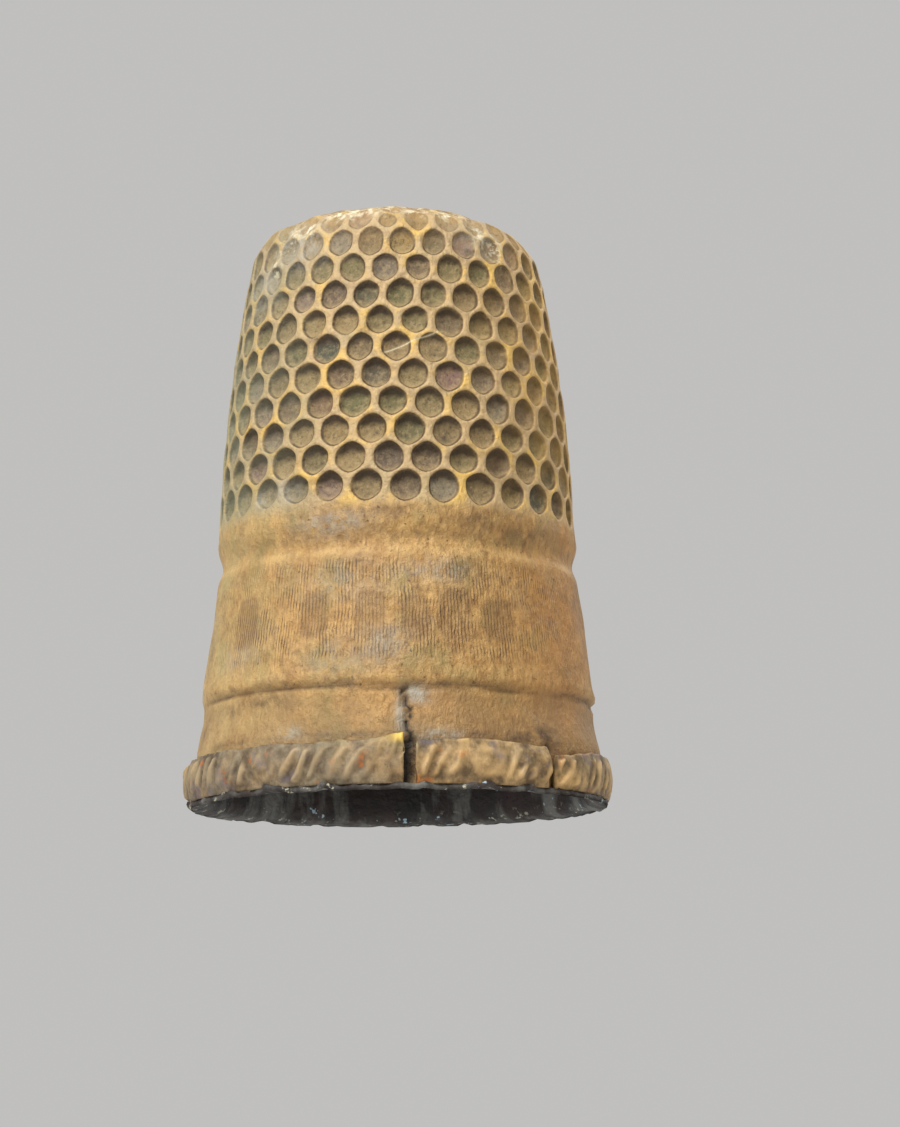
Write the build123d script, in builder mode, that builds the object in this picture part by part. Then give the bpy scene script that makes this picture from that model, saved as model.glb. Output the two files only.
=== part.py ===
"""Drawn brass thimble with a knurled crown, a white-metal lining and a broken rim band.

Millimetres. The mouth rests on Z = 0, the axis is +Z, and the breaks in the band face -Y.
"""
import os
from math import cos, pi, radians, sin

from build123d import *

# Brass skin, outside surface
height = 23.0                # mouth plane to the top of the crown
mouth_radius = 7.72          # straight part behind the rim band
flare_height = 1.95          # the flare meets the straight part
waist_radius = 7.38
waist_height = 3.3
skirt_radius = 7.46          # widest part of the plain skirt, over the waist
skirt_height = 4.3
cone_top_radius = 6.89       # upper end of the plain skirt, at the groove
groove_radius = 6.68
groove_height = 9.2
groove_half_width = 0.5
groove_fullness = 0.55       # share of the half width over which each side of the groove bends
bead_radius = 6.9            # smooth bead between the groove and the knurling
bead_half_width = 0.5
wall_foot_radius = 6.87      # the knurled wall is one long shallow arc
wall_middle_radius = 6.5
wall_middle_height = 16.0
crown_edge_radius = 5.52
crown_drop = 1.15            # the crown's edge lies this far under its top
shoulder_radius = 1.6        # rounding between wall and crown
shell_wall = 0.38

# Lining
liner_gap = 0.02             # all round, between the skin and the lining
liner_wall = 0.25
lip_thickness = 0.22         # turned-out lip, on which the skin and the band stand
lip_reach = 0.2              # the lip passes the skin by this much

# Rim band
band_gap = 0.02              # between the skin and the band
band_foot = 0.14             # width of the band where it stands on the lip
band_bulge = 0.38            # greatest thickness
band_bulge_height = 0.55     # height of that over the foot
band_edge = 0.22             # width of the upper edge
band_height = 1.55
first_break = 3.9            # degrees round from -Y towards +X
first_break_width = 1.8
second_break = 45.2
second_break_width = 0.7

# Knurling
pits_per_row = 30
row_count = 10
row_pitch = 1.06             # up the wall
crown_pitch = 1.15           # over the shoulder and crown
first_row_rise = 0.51        # the lowest row lies this far over the foot of the wall
pit_radius = 0.53
pit_floor_radius = 0.4
pit_depth = 0.16
pit_lift = 0.03              # the cutter stands out of the metal by this much
pit_spacing = 1.18           # least distance between the pits of one row

groove_foot_height = groove_height - groove_half_width
groove_top_height = groove_height + groove_half_width
groove_side = groove_half_width * groove_fullness
groove_pull_radius = (4 * groove_radius - cone_top_radius) / 3
wall_foot_height = groove_top_height + 2 * bead_half_width
crown_edge_height = height - crown_drop
pit_flare = pit_lift * (pit_radius - pit_floor_radius) / pit_depth
lip_radius = mouth_radius + lip_reach
band_inner_radius = mouth_radius + band_gap


def cup_section(inset, foot):
    """Return half the section of a cup that lies inset under the outside of the skin."""
    crown_edge = (crown_edge_radius - inset, crown_edge_height - inset)
    dome_radius = (crown_edge[0]**2 + crown_drop**2) / (2 * crown_drop)
    with BuildSketch(Plane.XZ) as section:
        with BuildLine():
            Polyline(
                (0, height - inset),
                (0, foot),
                (mouth_radius - inset, foot),
                (mouth_radius - inset, flare_height),
                (waist_radius - inset, waist_height),
                (skirt_radius - inset, skirt_height),
                (cone_top_radius - inset, groove_foot_height),
            )
            Bezier(
                (cone_top_radius - inset, groove_foot_height),
                (groove_pull_radius - inset, groove_foot_height + groove_side),
                (groove_pull_radius - inset, groove_top_height - groove_side),
                (cone_top_radius - inset, groove_top_height),
            )
            ThreePointArc(
                (cone_top_radius - inset, groove_top_height),
                (bead_radius - inset, groove_top_height + bead_half_width),
                (wall_foot_radius - inset, wall_foot_height),
            )
            ThreePointArc(
                (wall_foot_radius - inset, wall_foot_height),
                (wall_middle_radius - inset, wall_middle_height),
                crown_edge,
            )
            RadiusArc(crown_edge, (0, height - inset), -dome_radius)
        make_face()
        corner = section.vertices().sort_by_distance(crown_edge)[0]
        fillet(corner, radius=shoulder_radius - inset)
    return section.sketch


def band_section(angle):
    """Return the band's section on the plane through the axis at this angle round from -Y."""
    turn = radians(angle - 90)
    plane = Plane((0, 0, 0), x_dir=(cos(turn), sin(turn), 0), z_dir=(sin(turn), -cos(turn), 0))
    top = lip_thickness + band_height
    with BuildSketch(plane) as section:
        with BuildLine():
            Polyline(
                (band_inner_radius + band_edge, top),
                (band_inner_radius, top),
                (band_inner_radius, lip_thickness),
                (band_inner_radius + band_foot, lip_thickness),
            )
            ThreePointArc(
                (band_inner_radius + band_foot, lip_thickness),
                (band_inner_radius + band_bulge, lip_thickness + band_bulge_height),
                (band_inner_radius + band_edge, top),
            )
        make_face()
    return section.sketch


def pit_row(surface, outward, count, half_step):
    """Return planes for one row of pits round the axis, each with Z along the outward normal."""
    planes = []
    for index in range(count):
        turn = 360 * (index + half_step / 2) / count
        normal = outward.rotate(Axis.Z, turn)
        planes.append(Plane(surface.rotate(Axis.Z, turn) - normal * pit_depth, z_dir=normal))
    return planes


def knurling(section):
    """Return the planes of all pits: rows up the wall, then rings over the shoulder and crown."""
    arcs = section.edges().filter_by(GeomType.CIRCLE)
    line = Wire(arcs.filter_by_position(Axis.Z, wall_foot_height, height))
    upward = (line @ 0).Z < (line @ 1).Z
    planes = []
    row = 0
    distance = first_row_rise
    while distance < line.length - crown_pitch / 2:
        place = distance if upward else line.length - distance
        surface = line.position_at(place, position_mode=PositionMode.LENGTH)
        along = line.tangent_at(place, position_mode=PositionMode.LENGTH)
        outward = Vector(abs(along.Z), 0, abs(along.X))
        count = min(pits_per_row, int(2 * pi * surface.X / pit_spacing))
        planes += pit_row(surface, outward, count, row % 2)
        row += 1
        distance += row_pitch if row < row_count else crown_pitch
    return planes


with BuildPart() as outer_shell:
    outside = cup_section(0, lip_thickness)
    revolve(outside, axis=Axis.Z)
    revolve(cup_section(shell_wall, lip_thickness), axis=Axis.Z, mode=Mode.SUBTRACT)
    with Locations(*knurling(outside)):
        Cone(
            bottom_radius=pit_floor_radius,
            top_radius=pit_radius + pit_flare,
            height=pit_depth + pit_lift,
            align=(Align.CENTER, Align.CENTER, Align.MIN),
            mode=Mode.SUBTRACT,
        )
outer_shell.part.label = "outer_shell"

with BuildPart() as inner_liner:
    revolve(cup_section(shell_wall + liner_gap, 0), axis=Axis.Z)
    with BuildSketch():
        Circle(lip_radius)
    extrude(amount=lip_thickness)
    revolve(cup_section(shell_wall + liner_gap + liner_wall, 0), axis=Axis.Z, mode=Mode.SUBTRACT)
inner_liner.part.label = "inner_liner"

fragment_start = first_break + first_break_width / 2
fragment_end = second_break - second_break_width / 2

with BuildPart() as rim_band_fragment:
    revolve(
        band_section(fragment_start),
        axis=Axis.Z,
        revolution_arc=fragment_end - fragment_start,
    )
rim_band_fragment.part.label = "rim_band_fragment"

with BuildPart() as rim_band:
    revolve(
        band_section(second_break + second_break_width / 2),
        axis=Axis.Z,
        revolution_arc=360 - (second_break - first_break) - (second_break_width + first_break_width) / 2,
    )
rim_band.part.label = "rim_band"

os.makedirs("parts", exist_ok=True)
export_step(outer_shell.part, "parts/outer_shell.step")
export_step(inner_liner.part, "parts/inner_liner.step")
export_step(rim_band.part, "parts/rim_band.step")
export_step(rim_band_fragment.part, "parts/rim_band_fragment.step")
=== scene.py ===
"""Builds the look of a worn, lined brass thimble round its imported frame.

Metres. The mouth rests on Z = 0, the axis is +Z, and the breaks in the rim band face -Y.
Turns round the axis are degrees from -Y towards +X.
"""

import random
from math import atan2, cos, degrees, exp, floor, hypot, pi, radians, sin, tan

import bmesh
import bpy
from bmesh.types import BMEdge, BMVert
from mathutils import Matrix, Vector, noise
from mathutils.bvhtree import BVHTree


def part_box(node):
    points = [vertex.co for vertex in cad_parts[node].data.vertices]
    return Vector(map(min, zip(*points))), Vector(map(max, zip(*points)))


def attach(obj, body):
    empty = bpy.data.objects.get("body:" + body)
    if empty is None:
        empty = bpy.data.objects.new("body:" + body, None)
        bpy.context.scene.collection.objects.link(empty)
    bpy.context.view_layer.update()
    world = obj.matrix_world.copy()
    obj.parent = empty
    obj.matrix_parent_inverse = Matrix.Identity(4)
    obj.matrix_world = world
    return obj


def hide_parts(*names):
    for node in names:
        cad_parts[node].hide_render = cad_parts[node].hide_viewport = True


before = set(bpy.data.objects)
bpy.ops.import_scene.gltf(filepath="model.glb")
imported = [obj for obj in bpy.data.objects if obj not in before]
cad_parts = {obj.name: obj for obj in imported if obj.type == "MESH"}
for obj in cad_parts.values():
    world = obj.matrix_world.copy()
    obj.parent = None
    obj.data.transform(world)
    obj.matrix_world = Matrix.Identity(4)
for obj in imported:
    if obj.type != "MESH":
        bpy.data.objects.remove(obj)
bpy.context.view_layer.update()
MM = 0.001

bl_info = {
    "name": "Worn brass thimble",
    "version": (1, 0, 0),
    "blender": (4, 5, 0),
    "location": "View3D > Sidebar > Thimble",
    "description": "Builds a worn, lined brass thimble with a knurled crown and a broken rim band",
    "category": "Object",
}


# Measures and small helpers

def turn_of(place):
    """Return how far round the axis a place lies, in degrees from -Y towards +X."""
    return degrees(atan2(place.x, -place.y))


def at_turn(turn, radius, height):
    """Return the place at this turn, radius and height."""
    return Vector((radius * sin(radians(turn)), -radius * cos(radians(turn)), height))


def outward_of(place):
    """Return the level direction from the axis to a place."""
    return Vector((place.x, place.y, 0)).normalized()


def rough(place, size, seed=0.0):
    """Return smooth noise between about -1 and 1 whose lumps are this size across."""
    return noise.noise(place / size + Vector((seed, 1.7 * seed, -seed)))


def bell(distance, width):
    """Return 1 at no distance, falling smoothly to nothing past about twice the width."""
    return exp(-(distance / width)**2)


def ease(low, high, value):
    """Return 0 up to low, 1 from high on, and a smooth step between."""
    share = min(1.0, max(0.0, (value - low) / (high - low)))
    return share * share * (3 - 2 * share)


def turn_gap(first, second):
    """Return the smaller angle between two turns, in degrees."""
    return abs((first - second + 180) % 360 - 180)


class Skin:
    """The outside of the CAD skin, measured on its mesh."""

    def __init__(self, node):
        bm = bmesh.new()
        bm.from_mesh(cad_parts[node].data)
        self.tree = BVHTree.FromBMesh(bm)
        bm.free()
        low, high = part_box(node)
        self.foot = low.z
        self.top = high.z
        self.reach = 2 * high.x
        # A level ray still meets the skin at this height.
        self.above_foot = self.foot + 0.02 * MM
        self.foot_radius = self.radius(self.above_foot)

    def radius(self, height):
        """Return the radius at this height, over the ridges between the pits."""
        found = 0.0
        for step in range(15):
            start = at_turn(step, self.reach, height)
            hit = self.tree.ray_cast(start, -outward_of(start))[0]
            if hit:
                found = max(found, hit.xy.length)
        return found

    def crown(self, radius):
        """Return the height of the crown at this radius, over the ridges between the pits."""
        found = 0.0
        for step in range(0, 60, 3):
            hit = self.tree.ray_cast(at_turn(step, radius, 2 * self.top), Vector((0, 0, -1)))[0]
            found = max(found, hit.z)
        return found


def add_ring(bm, edges, radius, height, turn=0.0):
    """Extrude an open ring of edges to a new radius and height, turned, and return its edges."""
    made = bmesh.ops.extrude_edge_only(bm, edges=edges)["geom"]
    for vert in made:
        if isinstance(vert, BMVert):
            vert.co = at_turn(turn_of(vert.co) + turn, radius, height)
    return [edge for edge in made if isinstance(edge, BMEdge) and edge.is_boundary]


def make_object(bm, name, levels=0):
    """Turn a bmesh into an object, smoothed by this many levels of subdivision."""
    mesh = bpy.data.meshes.new(name)
    bm.to_mesh(mesh)
    bm.free()
    made = bpy.data.objects.new(name, mesh)
    bpy.context.scene.collection.objects.link(made)
    if levels:
        smoother = made.modifiers.new("smooth", "SUBSURF")
        smoother.levels = levels
        smoother.render_levels = levels
        depsgraph = bpy.context.evaluated_depsgraph_get()
        smooth = bpy.data.meshes.new_from_object(
            made.evaluated_get(depsgraph), preserve_all_data_layers=True, depsgraph=depsgraph
        )
        made.modifiers.clear()
        made.data = smooth
        made.data.name = name
        bpy.data.meshes.remove(mesh)
    for face in made.data.polygons:
        face.use_smooth = True
    return made


def float_layers(mesh, *names):
    """Return the named numbers that each point of the mesh carries, added where they aren't there."""
    for name in names:
        if name not in mesh.attributes:
            mesh.attributes.new(name, "FLOAT", "POINT")
    return [mesh.attributes[name].data for name in names]


# The skin

# The rings of a plain crown, as shares of its edge's radius.
CROWN_SHARES = (0.85, 0.6, 0.3)


def crown_lattice(bm, skin, rings, height, turn):
    """Add triangles whose corners are the crown's pits: one, then rings of 6, 12, 18 and so on."""
    bmesh.ops.create_circle(bm, cap_ends=True, cap_tris=True, segments=6, radius=1)
    bmesh.ops.subdivide_edges(bm, edges=bm.edges[:], cuts=rings - 1, use_grid_fill=True)
    edge_radius = skin.radius(height)
    sixth = pi / 3
    for vert in bm.verts:
        flat = vert.co.xy
        angle = atan2(-flat.x, flat.y)
        sector = floor(angle / sixth) + 0.5
        lean = angle - sector * sixth
        ring = flat.length * cos(lean) / cos(sixth / 2)
        around = sector * sixth + sixth / 2 * tan(lean) / tan(sixth / 2)
        radius = edge_radius * ring
        level = height if ring > 0.99 else skin.crown(radius)
        vert.co = at_turn(degrees(around) + turn, radius, level)


def honeycomb(bm, skin, knurl):
    """Lay out triangles whose corners are the pits' centres, with an open ring under them."""
    top_row = knurl.first_row + (knurl.row_count - 1) * knurl.row_pitch
    shoulder = top_row + 0.9 * knurl.row_pitch
    rings = knurl.pits_per_row // 6
    row_turn = degrees(knurl.row_turn)
    crown_lattice(bm, skin, rings, shoulder, degrees(knurl.first_turn) - row_turn)
    edges = [edge for edge in bm.edges if edge.is_boundary]
    for row in range(knurl.row_count + 1):
        height = top_row - row * knurl.row_pitch
        edges = add_ring(bm, edges, skin.radius(height), height, row_turn)
    slanted = [face for face in bm.faces if len(face.verts) == 4]
    bmesh.ops.triangulate(bm, faces=slanted, quad_method="SHORT_EDGE")
    bmesh.ops.recalc_face_normals(bm, faces=bm.faces[:])


def turn_to_cells(bm):
    """Replace each inner corner of the triangles by a cell of its own, and return the cells."""
    corners = [vert for vert in bm.verts if not vert.is_boundary]
    sides = [edge for edge in bm.edges if not edge.is_boundary]
    bmesh.ops.poke(bm, faces=bm.faces[:])
    bmesh.ops.rotate_edges(bm, edges=sides)
    bmesh.ops.dissolve_verts(bm, verts=corners)
    settle_order(bm)
    return [face for face in bm.faces if not any(vert.is_boundary for vert in face.verts)]


def settle_order(bm):
    """Sort the corners, edges and faces up the axis and round it, so that every run draws alike."""
    level_step = 0.01 * MM
    steps_per_degree = 10
    # The seam is at a turn where the honeycomb has no corner.
    seam = 1.234

    def rank(place):
        around = round((turn_of(place) + seam) % 360 * steps_per_degree)
        return round(place.z / level_step) * 360 * steps_per_degree + around

    bm.verts.sort(key=lambda vert: rank(vert.co))
    bm.edges.sort(key=lambda edge: rank((edge.verts[0].co + edge.verts[1].co) / 2))
    bm.faces.sort(key=lambda face: rank(face.calc_center_median()))
    for items in (bm.verts, bm.edges, bm.faces):
        items.index_update()


def round_cell(cell, amount, stretch):
    """Draw the cell's corners towards a circle round its middle, stretched upright."""
    middle = cell.calc_center_median()
    reach = sum((vert.co - middle).length for vert in cell.verts) / len(cell.verts)
    for vert in cell.verts:
        out = vert.co - middle
        out *= 1 + amount * (reach / out.length - 1)
        vert.co = middle + Vector((out.x * (1 - stretch), out.y * (1 - stretch), out.z * (1 + stretch)))


def press_pit(bm, cell, knurl, chance):
    """Sink one pit into its cell, and mark its floor."""
    pit = bm.verts.layers.float["pit"]
    tint = bm.verts.layers.float["tint"]
    height = cell.calc_center_median().z
    # The pits are worn a little on the shoulder, and most of the way on the crown.
    worn = 1 - 0.3 * ease(19.0 * MM, 20.5 * MM, height) - 0.6 * ease(20.9 * MM, 21.9 * MM, height)
    depth = knurl.pit_depth * worn * chance.uniform(0.75, 1.1)
    ridge = knurl.ridge_width / 2 * chance.uniform(0.8, 1.25)
    own_tint = chance.random()
    bmesh.ops.inset_individual(bm, faces=[cell], thickness=ridge, depth=0, use_even_offset=True)
    round_cell(cell, knurl.roundness * chance.uniform(0.6, 1.2), knurl.stretch)
    for width, sink in ((knurl.wall_width, 0.6 * depth), (3 * knurl.wall_width, 0.4 * depth)):
        bmesh.ops.inset_individual(
            bm, faces=[cell], thickness=width, depth=-sink, use_even_offset=True
        )
        for vert in cell.verts:
            vert[pit] = 1.0
            vert[tint] = own_tint


def inside_of_skin(bm, edges, skin, knurl, form):
    """Turn the open ring at the mouth inwards, and close the skin with a plain inside."""
    bevel = 0.03 * MM
    inner_foot = skin.foot_radius - form.wall
    edges = add_ring(bm, edges, skin.foot_radius - bevel, skin.foot)
    edges = add_ring(bm, edges, inner_foot + bevel, skin.foot)
    edges = add_ring(bm, edges, inner_foot, skin.foot + bevel)
    inside_top = knurl.first_row + knurl.row_count * knurl.row_pitch - 2 * form.wall
    for step in range(1, form.inner_rings + 1):
        height = skin.foot + (inside_top - skin.foot) * step / form.inner_rings
        edges = add_ring(bm, edges, skin.radius(height) - form.wall, height)
    inner_radius = skin.radius(inside_top) - form.wall
    for share in CROWN_SHARES:
        radius = inner_radius * share
        edges = add_ring(bm, edges, radius, skin.crown(radius) - form.wall)
    bmesh.ops.edgeloop_fill(bm, edges=edges)


def knurled_skin(skin, knurl, form):
    """Model the skin: honeycomb, bead, groove, skirt and flare outside, and a plain inside."""
    chance = random.Random(form.seed)
    bm = bmesh.new()
    for name in ("pit", "tint", "outer"):
        bm.verts.layers.float.new(name)
    honeycomb(bm, skin, knurl)
    cells = turn_to_cells(bm)
    ridges = {edge for cell in cells for edge in cell.edges}
    corners = sorted({vert for edge in ridges for vert in edge.verts}, key=lambda v: v.index)
    for vert in corners:
        shift = Vector([chance.uniform(-1, 1) for axis in range(3)]) * knurl.wobble
        vert.co += shift - outward_of(vert.co) * shift.dot(outward_of(vert.co))
        # The rows lean: they run a little downhill towards +X.
        off_axis = ease(0, 4 * MM, vert.co.xy.length)
        vert.co.z -= knurl.row_lean * sin(radians(turn_of(vert.co))) * off_axis
    bmesh.ops.bisect_edges(bm, edges=sorted(ridges, key=lambda e: e.index), cuts=1)
    for cell in cells:
        press_pit(bm, cell, knurl, chance)
    edges = [edge for edge in bm.edges if edge.is_boundary]
    bmesh.ops.bisect_edges(bm, edges=edges, cuts=form.column_cuts)
    edges = [edge for edge in bm.edges if edge.is_boundary]
    start = knurl.first_row - knurl.row_pitch
    for vert in {vert for edge in edges for vert in edge.verts}:
        vert.co = at_turn(turn_of(vert.co), skin.radius(start), vert.co.z)
    steps = round((start - skin.foot) / form.ring_step)
    for step in range(1, steps + 1):
        height = max(start + (skin.foot - start) * step / steps, skin.above_foot)
        edges = add_ring(bm, edges, skin.radius(height), height)
    outer = bm.verts.layers.float["outer"]
    for vert in bm.verts:
        vert[outer] = 1.0
    inner = len(bm.verts)
    inside_of_skin(bm, edges, skin, knurl, form)
    bm.verts.ensure_lookup_table()
    for vert in bm.verts[inner:]:
        vert[outer] = 0.0
    bmesh.ops.recalc_face_normals(bm, faces=bm.faces[:])
    return make_object(bm, "knurled_skin", levels=1)


# Spots by turn in degrees, height, half width and half height in millimetres, and strength.
SKIN_SPOTS = {
    # Lining or solder that shows through.
    "grey": (
        (-19, 9.85, 1.3, 0.4, 1.0), (-40, 20.9, 1.5, 0.9, 1.0), (-58, 19.6, 1.1, 1.0, 0.8),
        (35, 21.2, 1.2, 0.7, 0.6), (-22, 0.9, 2.5, 0.9, 0.5), (6.5, 3.45, 0.5, 0.32, 1.4),
        (1.8, 2.8, 0.2, 0.8, 1.2), (-30, 2.15, 0.45, 0.22, 1.1), (12, 1.9, 0.9, 0.3, 0.9),
        (-3, 5.3, 0.8, 0.7, 0.6), (-14, 7.7, 2.2, 0.9, 0.4), (-16, 4.9, 1.5, 0.8, 0.4),
        (120, 9.8, 1.4, 0.6, 0.8), (-37, 11.2, 0.55, 0.5, 0.8), (-47, 11.1, 0.5, 0.4, 0.7),
        (12, 8.0, 1.4, 0.5, 0.5), (-52, 5.2, 1.2, 0.5, 0.4), (200, 20.0, 1.2, 1.0, 0.8),
        (230, 3.2, 0.9, 0.5, 0.8),
    ),
    # Dirt and dark tarnish, and painted shade in the groove under the bead.
    "stain_and_shade": (
        (28, 9.9, 0.9, 0.45, 0.9), (2, 10.3, 2.5, 0.3, 0.6), (-40, 3.4, 0.9, 0.3, 0.8),
        (36, 1.95, 1.2, 0.25, 1.1), (-55, 3.2, 0.8, 0.3, 0.6), (-12, 3.9, 1.5, 0.15, 0.7),
        (14, 3.85, 1.4, 0.14, 0.8), (150, 4.0, 1.6, 0.3, 0.8), (250, 10.0, 1.4, 0.4, 0.8),
        (-90, 8.7, 1.0, 0.4, 0.6), (-2, 5.0, 0.35, 0.3, 1.1), (45, 9.6, 1.2, 0.4, 0.8),
        (41, 2.15, 0.7, 0.2, 1.3), (3.9, 1.2, 0.6, 0.9, 1.6), (44.5, 2.1, 0.8, 0.3, 1.5),
        (45.2, 1.0, 0.4, 0.9, 1.6), (-20, 2.0, 2.4, 0.14, 0.9), (22, 2.0, 2.4, 0.16, 0.9),
        # The long thin spot at turn 5 and height 9.35 is painted shade in the groove under the bead.
        (-50, 2.0, 1.8, 0.14, 0.9), (5, 9.35, 6.5, 0.14, 0.55), (-8, 17.2, 0.35, 0.25, 0.6),
        (-27, 16.9, 0.45, 0.2, 1.3), (34.5, 12.25, 0.5, 0.5, 1.2), (-13, 10.25, 2.2, 0.35, 0.55),
        (24, 10.1, 1.4, 0.4, 0.5), (18, 7.9, 0.9, 0.7, 0.5), (60, 4.6, 1.0, 0.5, 0.5),
    ),
    # Bare metal chipped free of tarnish.
    # Painted highlights along the crown's top edge, where the light from above falls, over chips of bare
    # metal.
    "bright": (
        (-20, 22.1, 0.9, 0.4, 1.4), (-6, 22.2, 0.7, 0.35, 1.4), (10, 22.2, 0.6, 0.35, 1.3),
        (26, 22.0, 0.8, 0.3, 1.2), (-44, 21.3, 0.5, 0.5, 1.0), (-36, 21.5, 0.4, 0.4, 1.0),
        (-52, 20.4, 0.4, 0.5, 0.9), (43, 20.9, 0.35, 0.6, 1.0), (36, 21.2, 0.3, 0.5, 0.9),
        (180, 22.3, 0.8, 0.3, 1.0),
    ),
    # Redder tarnish; over the knurl on the right it also carries painted light.
    "warm": (
        (64, 6.5, 3.6, 3.0, 1.0), (56, 3.2, 3.0, 1.3, 0.9), (-38, 6.8, 2.4, 1.8, 0.4),
        (8, 3.2, 1.8, 0.6, 0.6), (70, 10.0, 2.0, 0.8, 0.8), (72, 16.0, 3.4, 5.5, 1.1),
        (150, 6.0, 3.5, 2.2, 0.9), (240, 6.6, 3.0, 2.0, 0.8),
    ),
    # Blank punch marks, worn past reading.
    "mark": (
        (-50, 6.5, 0.62, 0.95, 1.0), (-24, 6.45, 0.66, 0.95, 0.75), (-7, 6.4, 0.55, 0.9, 1.0),
        (6, 6.25, 0.5, 0.85, 1.0), (17.7, 6.4, 0.62, 0.95, 1.0), (31.6, 6.3, 0.7, 0.8, 0.9),
    ),
}


def spot_strength(name, turn, height, rim):
    """Return how strongly the spots of one kind mark a place on the skin."""
    strength = 0.0
    for spot_turn, spot_height, wide, high, amount in SKIN_SPOTS[name]:
        across = radians(turn_gap(turn, spot_turn)) * rim / (wide * MM)
        up = (height - spot_height * MM) / (high * MM)
        if abs(across) < 3 and abs(up) < 3:
            # Punch marks have corners, and the rest are round.
            away = (across**4 + up**4) ** 0.25 if name == "mark" else hypot(across, up)
            strength = max(strength, amount * bell(away, 1.0))
    return strength


def wear_skin(skin_object, wear):
    """Dent and scar the skin, and mark where its colour changes."""
    mesh = skin_object.data
    outer, scars, creases, *marked = float_layers(mesh, "outer", "scar", "crease", *SKIN_SPOTS)
    layers = dict(zip(SKIN_SPOTS, marked))
    for index, vert in enumerate(mesh.vertices):
        outside = outer[index].value
        if outside <= 0:
            continue
        place = vert.co.copy()
        out = outward_of(place)
        turn = turn_of(place)
        height = place.z
        rim = place.xy.length
        upright = Vector((0, 0, height))
        push = 0.03 * MM * rough(place, 4 * MM, 1) + 0.008 * MM * rough(place, 0.8 * MM, 2)
        below = 1 - ease(8.4 * MM, 8.8 * MM, height)
        # The crease: a fold that wanders round the skirt over the waist.
        wander = 0.26 * MM * rough(out, 0.35, 5) + 0.07 * MM * rough(out, 0.09, 6)
        line = wear.crease_height + wander
        strength = max(0.15, 0.7 + 0.8 * rough(out, 0.4, 9))
        push -= wear.crease_depth * strength * bell(height - line, 0.12 * MM)
        push += wear.crease_depth / 2 * strength * bell(height - line - 0.3 * MM, 0.25 * MM)
        push += 0.08 * MM * below * rough(place, 1.6 * MM, 3)
        # The crack: a slit that runs from the crease down behind the band, where it is wider.
        bend = 2.4 * rough(upright, 0.8 * MM, 4) + 1.2 * rough(upright, 0.25 * MM, 7)
        beside = radians(turn - degrees(wear.crack_turn) - bend) * rim
        along = 1 - ease(line - 0.1 * MM, line + 0.2 * MM, height)
        behind = 1 - ease(1.7 * MM, 2.0 * MM, height)
        scar = bell(beside, wear.crack_width * (1 + 1.6 * behind)) * along
        second = radians(turn - degrees(wear.second_turn)) * rim
        scar = max(scar, bell(second, 0.14 * MM) * behind)
        for name, layer in layers.items():
            layer[index].value = spot_strength(name, turn, height, rim) * outside
        push -= 0.04 * MM * ease(0.3, 0.7, layers["mark"][index].value)
        push -= 0.22 * MM * scar
        # The crown stands a little fuller than the plain form.
        crown = ease(20.5 * MM, 22.3 * MM, height)
        fuller = out * (push + 0.16 * MM * crown) * outside
        vert.co = place + fuller + Vector((0, 0, 0.12 * MM * crown))
        scars[index].value = scar
        creases[index].value = strength * bell(height - line, 0.1 * MM) * outside


# The lining

def lining_profile(skin, lining, lip_radius):
    """Return half the lining's section: over the top, down the outside, round the lip and up inside."""
    outer_gap = lining.skin_wall + lining.gap
    inner_gap = outer_gap + lining.wall
    top = skin.top - 2.6 * MM
    lip_top = lining.lip_thickness
    lip_bevel = 0.04 * MM
    inner_foot = skin.foot_radius - inner_gap
    heights = [top + (lip_top - top) * step / lining.rings for step in range(lining.rings + 1)]
    profile = [(0, skin.crown(0) - outer_gap)]
    for share in reversed(CROWN_SHARES):
        radius = (skin.radius(top) - outer_gap) * share
        profile.append((radius, skin.crown(radius) - outer_gap))
    profile += [(skin.radius(max(height, skin.above_foot)) - outer_gap, height) for height in heights]
    profile += [
        (lip_radius - lip_bevel, lip_top),
        (lip_radius, lip_top / 2),
        (lip_radius - lip_bevel, 0.0),
        ((lip_radius + inner_foot) / 2, 0.4 * lip_top),
        (inner_foot + 0.8 * lining.wall, 0.9 * lip_top),
        (inner_foot + 0.2 * lining.wall, lining.flare / 2),
    ]
    inside = [height for height in reversed(heights) if height > lining.flare]
    profile += [(skin.radius(height) - inner_gap, height) for height in inside]
    for share in CROWN_SHARES:
        radius = (skin.radius(top) - inner_gap) * share
        profile.append((radius, skin.crown(radius) - inner_gap))
    profile.append((0, skin.crown(0) - inner_gap))
    return profile


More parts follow.
